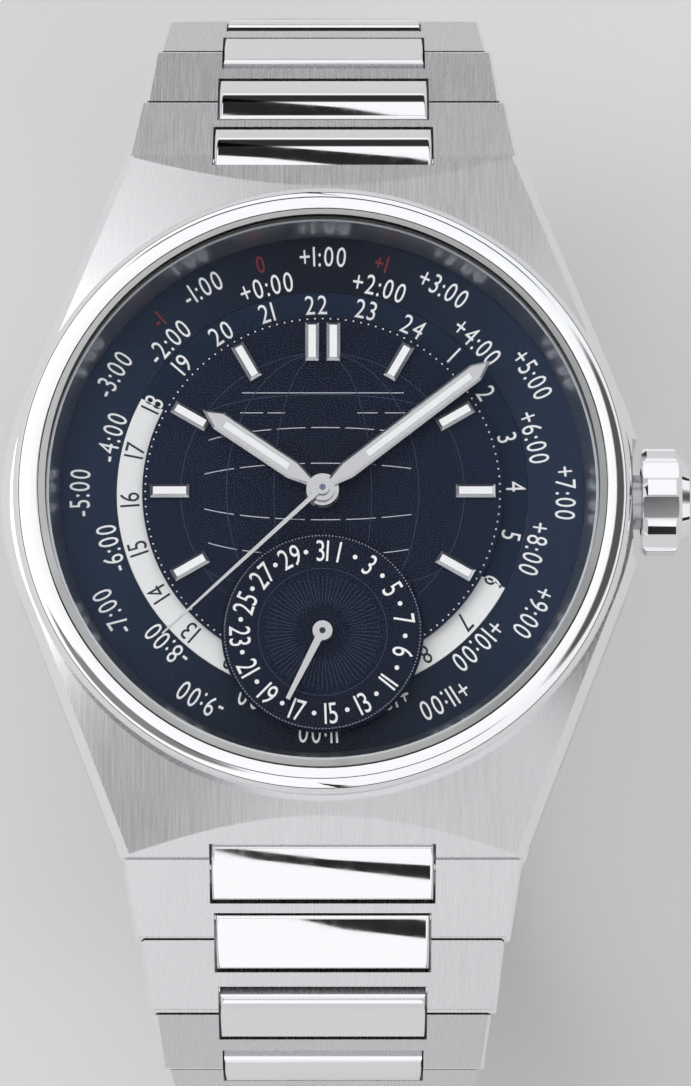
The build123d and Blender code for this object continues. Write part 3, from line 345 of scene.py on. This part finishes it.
wear(["case_body"], brushed_steel, polished_steel, cross_brushed)
wear(["bezel", "crown", "end_pieces", "case_back_screws", "bridge_screws"], polished_steel)
wear(["hour_markers"], polished_steel, painted_shade_steel)
wear(["rehaut_ring"], rehaut_satin)
wear(["hour_hand", "minute_hand", "date_hand", "seconds_hand"], hand_steel)
wear(["crystal"], crystal_clear)
wear(["back_crystal"], back_clear)
wear(["crystal_gasket", "back_gasket", "crown_gasket"], black_rubber)
wear(["case_back", "crown_tube", "movement_ring"], satin_steel)
wear(["winding_stem", "escape_wheel", "pallet_fork", "hairspring"], blued)
wear(["dial_plate", "date_subdial"], dial_lacquer)
wear(["city_disc"], ring_lacquer)
wear(["hour_disc"], day_and_night())
wear(["main_plate", "train_bridge", "balance_cock", "rotor"], plate_stripes)
wear(["barrel", "second_wheel", "third_wheel", "balance_wheel"], gilt)
wear(["fourth_wheel"], gilt, blued)
wear(["clasp_cover"], brushed_steel, polished_steel)
wear(["clasp_middle_blade", "clasp_inner_blade"], brushed_steel, satin_steel)
wear(["clasp_button_left", "clasp_button_right"], polished_steel)


def is_case_bevel(centre, normal):
    """The polished bevels along the case's sides."""
    return 0.35 < abs(normal.x) < 0.93 and abs(normal.z) > 0.3


def is_case_side(centre, normal):
    """The upright sides, brushed level with the case."""
    return abs(normal.z) < 0.2 and abs(centre.x) > 12.5 * MM


finish_faces("case_body", 1, is_case_bevel)
finish_faces("case_body", 2, is_case_side)
# Painted shade on the hour markers' sides.
finish_faces("hour_markers", 1, lambda centre, normal: normal.z < 0.9)
finish_faces("fourth_wheel", 1, lambda centre, normal: centre.z > dial_top)


# Bracelet

link_count = 9
centre_end_width = 11.5 * MM
centre_taper = 2.65 * MM
centre_slack = 0.03 * MM
centre_reach = (-1.0 * MM, 3.18 * MM)
end_link_bend = math.radians(20)


def centre_half_width(number):
    """Half the width of a link's centre, just past its faces."""
    left_to_go = 1 - 0.1 * (number - 1)
    return (centre_end_width + centre_taper * left_to_go ** 2) / 2 + centre_slack


def link_pins(side):
    """Hinge pin places of one strand, from its joints."""
    places = {joint["name"]: joint["pos_m"] for joint in frame["joints"] if "pos_m" in joint}
    return [Vector(places[f"link_{side}_{number}_hinge"]) for number in range(1, link_count + 1)]


def finish_links(side, sign):
    """Brushed arms and a polished centre on each link of a strand."""
    pins = link_pins(side)
    for number in range(1, link_count + 1):
        name = f"link_{side}_{number}"
        wear([name], brushed_steel, polished_steel)
        here = pins[number - 1]
        if number < link_count:
            along = (pins[number] - here).normalized()
        else:
            along = (here - pins[number - 2]).normalized()
            along = Matrix.Rotation(-sign * end_link_bend, 3, "X") @ along
        outward = Vector((sign, 0, 0)).cross(along)
        half = centre_half_width(number)

        def is_centre(centre, normal):
            """The centre link's own faces."""
            reach = (centre - here).dot(along)
            low, high = centre_reach
            return number > 1 and abs(centre.x) < half and low < reach < high

        def is_edge(centre, normal):
            """The bevel along the link's outer sides."""
            tilt = normal.dot(outward)
            return 0.4 < tilt < 0.95 and 0.3 < abs(normal.x)

        def is_shoulder(centre, normal):
            """The rounded ends of the arms."""
            return abs(normal.x) < 0.2 and 0.12 < normal.dot(outward) < 0.97

        for chosen in (is_centre, is_edge, is_shoulder):
            finish_faces(name, 1, chosen)


finish_links("12h", 1)
finish_links("6h", -1)


# Printing and fine lines

def piece(name, body, bm, finish):
    """Turn a bmesh into a piece that rides on a body."""
    bmesh.ops.remove_doubles(bm, verts=bm.verts, dist=weld_distance)
    bmesh.ops.recalc_face_normals(bm, faces=bm.faces)
    mesh = bpy.data.meshes.new(name)
    bm.to_mesh(mesh)
    bm.free()
    mesh.materials.append(finish)
    made = bpy.data.objects.new(name, mesh)
    bpy.context.scene.collection.objects.link(made)
    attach(made, body)


type_cache = {}
type_thickness = 0.02


def type_mesh(text):
    """A character as a mesh, in type units."""
    if text not in type_cache:
        curve = bpy.data.curves.new("type", "FONT")
        curve.body = text
        curve.resolution_u = 3
        curve.size = 1.0
        curve.extrude = type_thickness / 2
        holder = bpy.data.objects.new("type", curve)
        mesh = bpy.data.meshes.new_from_object(holder)
        bpy.data.objects.remove(holder)
        type_cache[text] = mesh
    return type_cache[text]


def type_extent(text):
    """Lowest x and width of a character, in type units."""
    xs = [vertex.co.x for vertex in type_mesh(text).vertices]
    return min(xs), max(xs) - min(xs)


type_height = max(vertex.co.y for vertex in type_mesh("0").vertices)


def clockwise(degrees):
    """Turn about Z, clockwise from 12."""
    return Matrix.Rotation(-math.radians(degrees), 4, "Z")


def set_type(bm, text, radius, angle, height, squeeze, top, centre=Vector(), inward=False,
             gap_share=0.16):
    """Print text round a circle, each character square to it, its tops outward or inward."""
    scale = height / type_height
    gap = gap_share * height
    extents = [type_extent(character) for character in text]
    widths = [width * scale * squeeze for _, width in extents]
    total = sum(widths) + gap * (len(text) - 1)
    at = -total / 2
    for character, (low, _), width in zip(text, extents, widths):
        middle = at + width / 2
        at += width + gap
        before = set(bm.verts)
        bm.from_mesh(type_mesh(character))
        fresh = [vertex for vertex in bm.verts if vertex not in before]
        size = Matrix.Diagonal((scale * squeeze, scale, print_depth / type_thickness, 1))
        own = Matrix.Translation((-width / 2 - low * scale * squeeze, -height / 2, 0))
        out = Matrix.Translation((0, radius, top))
        if inward:
            turn = clockwise(angle - math.degrees(middle / radius))
            out = out @ Matrix.Rotation(math.pi, 4, "Z")
        else:
            turn = clockwise(angle + math.degrees(middle / radius))
        place = Matrix.Translation(centre) @ turn @ out @ own @ size
        bmesh.ops.transform(bm, matrix=place, verts=fresh)


def keep_half(bm, degrees, keep_day):
    """Cut away what lies on the other half of the 24 hour ring."""
    normal = Vector((math.sin(math.radians(degrees)), math.cos(math.radians(degrees)), 0))
    geometry = list(bm.verts) + list(bm.edges) + list(bm.faces)
    bmesh.ops.bisect_plane(bm, geom=geometry, plane_co=(0, 0, 0), plane_no=normal,
                           clear_inner=keep_day, clear_outer=not keep_day)


def dot(bm, radius, angle, size, top, centre=Vector(), sides=8):
    """A round printed dot."""
    made = bmesh.ops.create_cone(bm, cap_ends=True, segments=sides, radius1=size, radius2=size,
                                 depth=print_depth)
    spot = Matrix.Translation(centre) @ clockwise(angle) @ Matrix.Translation((0, radius, top))
    bmesh.ops.transform(bm, matrix=spot, verts=made["verts"])


def strip(bm, points, width, top, closed=False):
    """A thin flat line through points, given in the plane of the dial."""
    rows = []
    count = len(points)
    for index, point in enumerate(points):
        before = points[index - 1] if index > 0 or closed else point
        after = points[(index + 1) % count] if index < count - 1 or closed else point
        heading = (after - before).normalized()
        across = Vector((-heading.y, heading.x)) * (width / 2)
        low, high = point - across, point + across
        rows.append((bm.verts.new((low.x, low.y, top)), bm.verts.new((high.x, high.y, top))))
    pairs = list(zip(rows, rows[1:] + rows[:1])) if closed else list(zip(rows, rows[1:]))
    faces = [bm.faces.new((a[0], b[0], b[1], a[1])) for a, b in pairs]
    bmesh.ops.solidify(bm, geom=faces, thickness=-print_depth)


def circle_points(radius, centre=Vector((0, 0)), steps=96):
    """Points round a circle, clockwise from 12."""
    angles = [math.radians(360 * step / steps) for step in range(steps)]
    return [Vector((centre.x + radius * math.sin(angle), centre.y + radius * math.cos(angle)))
            for angle in angles]


ring_ink_z = ring_top + print_depth / 2 - print_sink
dial_ink_z = dial_top + print_depth / 2 - print_sink
subdial_ink_z = subdial_top + print_depth / 2 - print_sink

# City ring: time offsets in two staggered rows
outer_row_radius = 15.45 * MM
inner_row_radius = 13.95 * MM
city_height = 1.3 * MM
city_squeeze = 0.72
outer_offsets = {0: "+1:00", 30: "+3:00", 60: "+5:00", 90: "+7:00", 120: "+9:00", 150: "+11:00",
                 180: "-11:00", 210: "-9:00", 240: "-7:00", 270: "-5:00", 300: "-3:00",
                 330: "-1:00"}
inner_offsets = {-15: "+0:00", 15: "+2:00", 45: "+4:00", 75: "+6:00", 105: "+8:00",
                 135: "+10:00", 165: "+12:00", 195: "-10:00", 225: "-8:00", 255: "-6:00",
                 285: "-4:00", 315: "-2:00"}
red_offsets = {-43: "-1", -15: "0", 14: "+1"}
red_height = 0.85 * city_height
city_print = bmesh.new()
for radius, offsets in ((outer_row_radius, outer_offsets), (inner_row_radius, inner_offsets)):
    for angle, offset in offsets.items():
        set_type(city_print, offset, radius, angle, city_height, city_squeeze, ring_ink_z)
piece("city_ring_numbers", "city_ring", city_print, white_ink)

red_print = bmesh.new()
for angle, offset in red_offsets.items():
    set_type(red_print, offset, outer_row_radius, angle, red_height, city_squeeze, ring_ink_z)
piece("city_ring_red_numbers", "city_ring", red_print, red_ink)

# 24 hour ring: numbers change colour where they cross from night to day
hour_row_radius = 12.27 * MM
hour_height = 1.24 * MM
hour_squeeze = 0.78
hour_at_top = 22
hour_step = 15
hour_shift = -2
for name, finish, day in (("hour_ring_night_numbers", white_ink, False),
                          ("hour_ring_day_numbers", dark_ink, True)):
    hour_print = bmesh.new()
    for hour in range(1, 25):
        angle = (hour - hour_at_top) * hour_step + hour_shift
        set_type(hour_print, str(hour), hour_row_radius, angle, hour_height, hour_squeeze,
                 ring_ink_z)
    keep_half(hour_print, middle_of_day, day)
    piece(name, "hour_ring", hour_print, finish)

# Dotted track at the dial's rim, open where the date subdial covers it
track = bmesh.new()
track_radius = 11.25 * MM
track_dot_radius = 0.055 * MM
track_dots = 144
track_gap = (150, 210)
for index in range(track_dots):
    angle = index * 360 / track_dots
    if not track_gap[0] < angle < track_gap[1]:
        dot(track, track_radius, angle, track_dot_radius, dial_ink_z, sides=6)
piece("dial_track_dots", "head", track, white_ink)

# Globe lines: parallels that bow away from the equator, meridians through the poles
globe_radius = 9.0 * MM
silver_parallels = ((1.83 * MM, 0.25 * MM), (4.15 * MM, 2.3 * MM))
faint_parallel = (6.3 * MM, 4.6 * MM)
meridian_halves = (3.1 * MM, 6.1 * MM)
line_width = 0.062 * MM
parallel_steps = 48
parallel_margin, dash_steps, dash_gap = 4, 5, 1
meridian_steps = 40

# The two straight lines above the centre, the lower one broken
upper_line_y, upper_line_half = 6.4 * MM, 5.15 * MM
lower_line_y = 5.1 * MM
lower_line_runs = ((-5.25, -3.8), (-3.5, -2.4), (2.2, 3.5), (3.95, 5.25))


def bowed_parallel(peak, end):
    """Points of a parallel from its height at the globe's middle and at its edge."""
    half = math.sqrt(globe_radius ** 2 - end ** 2)
    shares = [-1 + 2 * step / parallel_steps for step in range(parallel_steps + 1)]
    return [Vector((half * share, end + (peak - end) * math.sqrt(1 - share ** 2)))
            for share in shares]


def meridian(half):
    """Points of a meridian from pole to pole, on the side that half's sign tells."""
    angles = [math.pi * step / meridian_steps for step in range(meridian_steps + 1)]
    return [Vector((half * math.sin(angle), globe_radius * math.cos(angle)))
            for angle in angles]


def dashes(points, length, gap):
    """Split a run of points into dashes of a number of points, with gaps."""
    runs = []
    index = 0
    while index + length < len(points):
        runs.append(points[index:index + length + 1])
        index += length + gap
    return runs


silver_lines = bmesh.new()
for sign in (1, -1):
    for peak, end in silver_parallels:
        whole = bowed_parallel(sign * peak, sign * end)
        inner = whole[parallel_margin:-parallel_margin]
        for run in dashes(inner, dash_steps, dash_gap):
            strip(silver_lines, run, line_width, dial_ink_z)
ends = [Vector((x, upper_line_y)) for x in (-upper_line_half, upper_line_half)]
strip(silver_lines, ends, line_width, dial_ink_z)
for run in lower_line_runs:
    ends = [Vector((x * MM, lower_line_y)) for x in run]
    strip(silver_lines, ends, line_width, dial_ink_z)
piece("globe_silver_lines", "head", silver_lines, silver_line)

faint_lines = bmesh.new()
strip(faint_lines, circle_points(globe_radius), line_width, dial_ink_z, closed=True)
for half in meridian_halves:
    for sign in (1, -1):
        strip(faint_lines, meridian(sign * half), line_width, dial_ink_z)
for sign in (1, -1):
    peak, end = faint_parallel
    strip(faint_lines, bowed_parallel(sign * peak, sign * end), line_width, dial_ink_z)
piece("globe_faint_lines", "head", faint_lines, faint_line)

# Date subdial: odd days as numbers, even days as dots
day_count = 31
day_radius = 5.22 * MM
day_height = 1.34 * MM
day_squeeze = 0.72
day_dot_radius = 0.15 * MM
inward_days = (93, 275)
day_print = bmesh.new()
for day in range(1, day_count + 1):
    angle = day * 360 / day_count
    if day % 2:
        set_type(day_print, str(day), day_radius, angle, day_height, day_squeeze, subdial_ink_z,
                 centre=subdial_centre, inward=inward_days[0] < angle < inward_days[1],
                 gap_share=0.1)
    else:
        dot(day_print, day_radius, angle, day_dot_radius, subdial_ink_z, centre=subdial_centre,
            sides=12)
piece("date_numbers", "head", day_print, white_ink)

date_rim = bmesh.new()
rim_radius = 6.18 * MM
rim_dot_radius = 0.04 * MM
rim_dots = 180
for index in range(rim_dots):
    dot(date_rim, rim_radius, index * 360 / rim_dots, rim_dot_radius, subdial_ink_z,
        centre=subdial_centre, sides=6)
piece("date_rim_dots", "head", date_rim, silver_line)

# Sunburst inside a thin ring, long and short rays by turns
date_rings = bmesh.new()
flat_centre = subdial_centre.to_2d()
burst_ring_radius = 4.07 * MM
burst_rays = 72
long_ray = (1.7 * MM, 3.75 * MM)
short_ray = (1.9 * MM, 3.6 * MM)
ray_width = 0.05 * MM
strip(date_rings, circle_points(burst_ring_radius, flat_centre), line_width, subdial_ink_z,
      closed=True)
for index in range(burst_rays):
    angle = math.radians(index * 360 / burst_rays)
    heading = Vector((math.sin(angle), math.cos(angle)))
    ends = [flat_centre + heading * reach for reach in (long_ray if index % 2 else short_ray)]
    strip(date_rings, ends, ray_width, subdial_ink_z)
piece("date_sunburst", "head", date_rings, faint_line)


# Inlays and pin of the hands

inlay_thickness = 0.07 * MM
inlay_bevel = 0.02 * MM
date_pin_radius = 0.2 * MM


def hand_inlay(hand, start, stop, width):
    """A raised white inlay along a hand."""
    bm = bmesh.new()
    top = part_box(hand)[1].z
    made = bmesh.ops.create_cube(bm, size=1.0)
    size = Matrix.Diagonal((width, stop - start, inlay_thickness, 1))
    place = clockwise(hand_angles[hand]) @ Matrix.Translation((0, (start + stop) / 2, top)) @ size
    bmesh.ops.transform(bm, matrix=place, verts=made["verts"])
    upper = [edge for edge in bm.edges if all(vertex.co.z > top for vertex in edge.verts)]
    bmesh.ops.bevel(bm, geom=upper, offset=inlay_bevel, segments=2, affect="EDGES", profile=0.5,
                    material=-1)
    piece(f"{hand}_inlay", hand, bm, white_ink)


date_pin = bmesh.new()
dot(date_pin, 0, 0, date_pin_radius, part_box("date_hand")[1].z, centre=subdial_centre, sides=24)
piece("date_hand_pin", "date_hand", date_pin, dark_ink)

hand_inlay("hour_hand", start=2.6 * MM, stop=7.5 * MM, width=0.42 * MM)
hand_inlay("minute_hand", start=3.6 * MM, stop=11.9 * MM, width=0.4 * MM)


# Studio: pale floor, soft light, the room that the steel reflects, camera

floor_half = 3.0
floor_gap = 0.2 * MM


def floor_finish():
    """Pale matt card."""
    made, shader, nodes, links = new_finish("floor_card", (0.72, 0.72, 0.72))
    paper = grain(nodes, links, (300, 300, 300))
    links.new(spread(nodes, links, paper, 0.6, 0.7), shader.inputs["Roughness"])
    return made


floor_bm = bmesh.new()
bmesh.ops.create_grid(floor_bm, x_segments=1, y_segments=1, size=floor_half)
floor_mesh = bpy.data.meshes.new("floor")
floor_bm.to_mesh(floor_mesh)
floor_bm.free()
floor_mesh.materials.append(floor_finish())
floor = bpy.data.objects.new("floor", floor_mesh)
floor.location = (0, 0, cad_box[0].z - floor_gap)
bpy.context.scene.collection.objects.link(floor)


def soft_light(name, place, size, power):
    """A large lamp aimed at the watch's middle."""
    lamp = bpy.data.lights.new(name, "AREA")
    lamp.shape = "RECTANGLE"
    lamp.size, lamp.size_y = size
    lamp.energy = power
    holder = bpy.data.objects.new(name, lamp)
    holder.location = place
    holder.rotation_mode = "QUATERNION"
    holder.rotation_quaternion = (-Vector(place)).to_track_quat("-Z", "Y")
    bpy.context.scene.collection.objects.link(holder)


soft_light("left_window", place=(-1.2, 0.4, 1.1), size=(1.3, 1.3), power=7.0)

# The room's light, how much it falls towards +X, and its colour
room_light = 1.1
room_fall = 0.12
room_colour = (0.98, 0.99, 1.0)

# Dark gap over the horizon: middle, half width and soft edge, in heights of the direction
horizon_gap = (0.07, 0.045, 0.02)
horizon_share = 0.03

# Dark cards: direction, reach and soft edge as a dot product, and the light that is left
dark_cards = (
    ((0.70, 0.12, 0.70), 0.06, 0.06, 0.10),
    ((-0.56, -0.44, 0.70), 0.045, 0.05, 0.22),
)

# Slanted dark gaps that draw tapered wedges on the bowed centre links. Each has the pitch of its
# middle, that pitch's change over x, half width, its change over x, soft edge, and reach in x.
slanted_gaps = (
    (math.radians(-54.5), -5.6, math.radians(2.7), 1.8, math.radians(0.5), 0.05),
    (math.radians(74), -5.6, math.radians(3.6), -1.5, math.radians(0.5), 0.05),
    (math.radians(-21), 0.12, math.radians(1.6), 0.0, math.radians(1.5), 0.3),
    (math.radians(50), -0.25, math.radians(3.0), 0.0, math.radians(1.5), 0.4),
)
slanted_fade = 0.1
slanted_share = 0.02


def studio_world():
    """A pale room, dimmer to the right, with dark gaps that draw lines on polished steel."""
    world = bpy.data.worlds.new("studio")
    bpy.context.scene.world = world
    world.use_nodes = True
    nodes, links = world.node_tree.nodes, world.node_tree.links

    def math_node(kind, *values):
        """One sum on numbers or on other nodes' results."""
        made = nodes.new("ShaderNodeMath")
        made.operation = kind
        for socket, value in zip(made.inputs, values):
            if isinstance(value, (int, float)):
                socket.default_value = value
            else:
                links.new(value, socket)
        return made.outputs["Value"]

    def near(value, middle, half, soft):
        """1 where a value lies within half of the middle, falling to 0 over a soft edge."""
        away = math_node("ABSOLUTE", math_node("SUBTRACT", value, middle))
        fall = nodes.new("ShaderNodeMapRange")
        fall.interpolation_type = "SMOOTHSTEP"
        fall.inputs["To Min"].default_value = 1.0
        fall.inputs["To Max"].default_value = 0.0
        links.new(away, fall.inputs["Value"])
        for socket, edge in (("From Min", half), ("From Max", math_node("ADD", half, soft))):
            if isinstance(edge, (int, float)):
                fall.inputs[socket].default_value = edge
            else:
                links.new(edge, fall.inputs[socket])
        return fall.outputs["Result"]

    def dimmed(light, mask, share):
        """Light cut to a share of itself where a mask is 1."""
        return math_node("MULTIPLY", light, math_node("SUBTRACT", 1.0,
                                                      math_node("MULTIPLY", mask, 1 - share)))

    place = nodes.new("ShaderNodeTexCoord")
    parts = nodes.new("ShaderNodeSeparateXYZ")
    links.new(place.outputs["Generated"], parts.inputs["Vector"])
    x, y, z = parts.outputs["X"], parts.outputs["Y"], parts.outputs["Z"]
    pitch = math_node("ARCTAN2", y, z)
    light = math_node("SUBTRACT", room_light, math_node("MULTIPLY", x, room_fall))
    light = dimmed(light, near(z, *horizon_gap), horizon_share)
    for direction, reach, soft, share in dark_cards:
        aim = nodes.new("ShaderNodeVectorMath")
        aim.operation = "DOT_PRODUCT"
        aim.inputs[1].default_value = direction
        links.new(place.outputs["Generated"], aim.inputs[0])
        light = dimmed(light, near(aim.outputs["Value"], 1.0, reach, soft), share)
    for middle, slant, half, widen, soft, reach in slanted_gaps:
        course = math_node("ADD", math_node("MULTIPLY", x, slant), middle)
        width = math_node("ADD", math_node("MULTIPLY", x, widen), half)
        gap = math_node("MULTIPLY", near(pitch, course, width, soft),
                        near(x, 0.0, reach, slanted_fade))
        light = dimmed(light, gap, slanted_share)
    background = nodes["Background"]
    background.inputs["Color"].default_value = (*room_colour, 1)
    links.new(light, background.inputs["Strength"])


studio_world()
bpy.context.scene.view_settings.view_transform = "Standard"

# The photo's camera: tilted towards 6 o'clock, aimed a little right of and below the dial
tilt = math.radians(11)
camera_distance = 375 * MM
aim_right, aim_down = 1.45 * MM, 3.27 * MM
back = Vector((0, -math.sin(tilt), math.cos(tilt)))
up = Vector((0, math.cos(tilt), math.sin(tilt)))
look_at = Vector((aim_right, 0, dial_top)) - up * aim_down
camera_data = bpy.data.cameras.new("camera")
camera_data.sensor_fit = "AUTO"
camera_data.sensor_width = 36
camera_data.lens = 196
camera_data.clip_start = 0.01
camera_data.clip_end = 10
camera = bpy.data.objects.new("camera", camera_data)
camera.location = look_at + back * camera_distance
camera.rotation_mode = "QUATERNION"
camera.rotation_quaternion = (-back).to_track_quat("-Z", "Y")
bpy.context.scene.collection.objects.link(camera)
bpy.context.scene.camera = camera
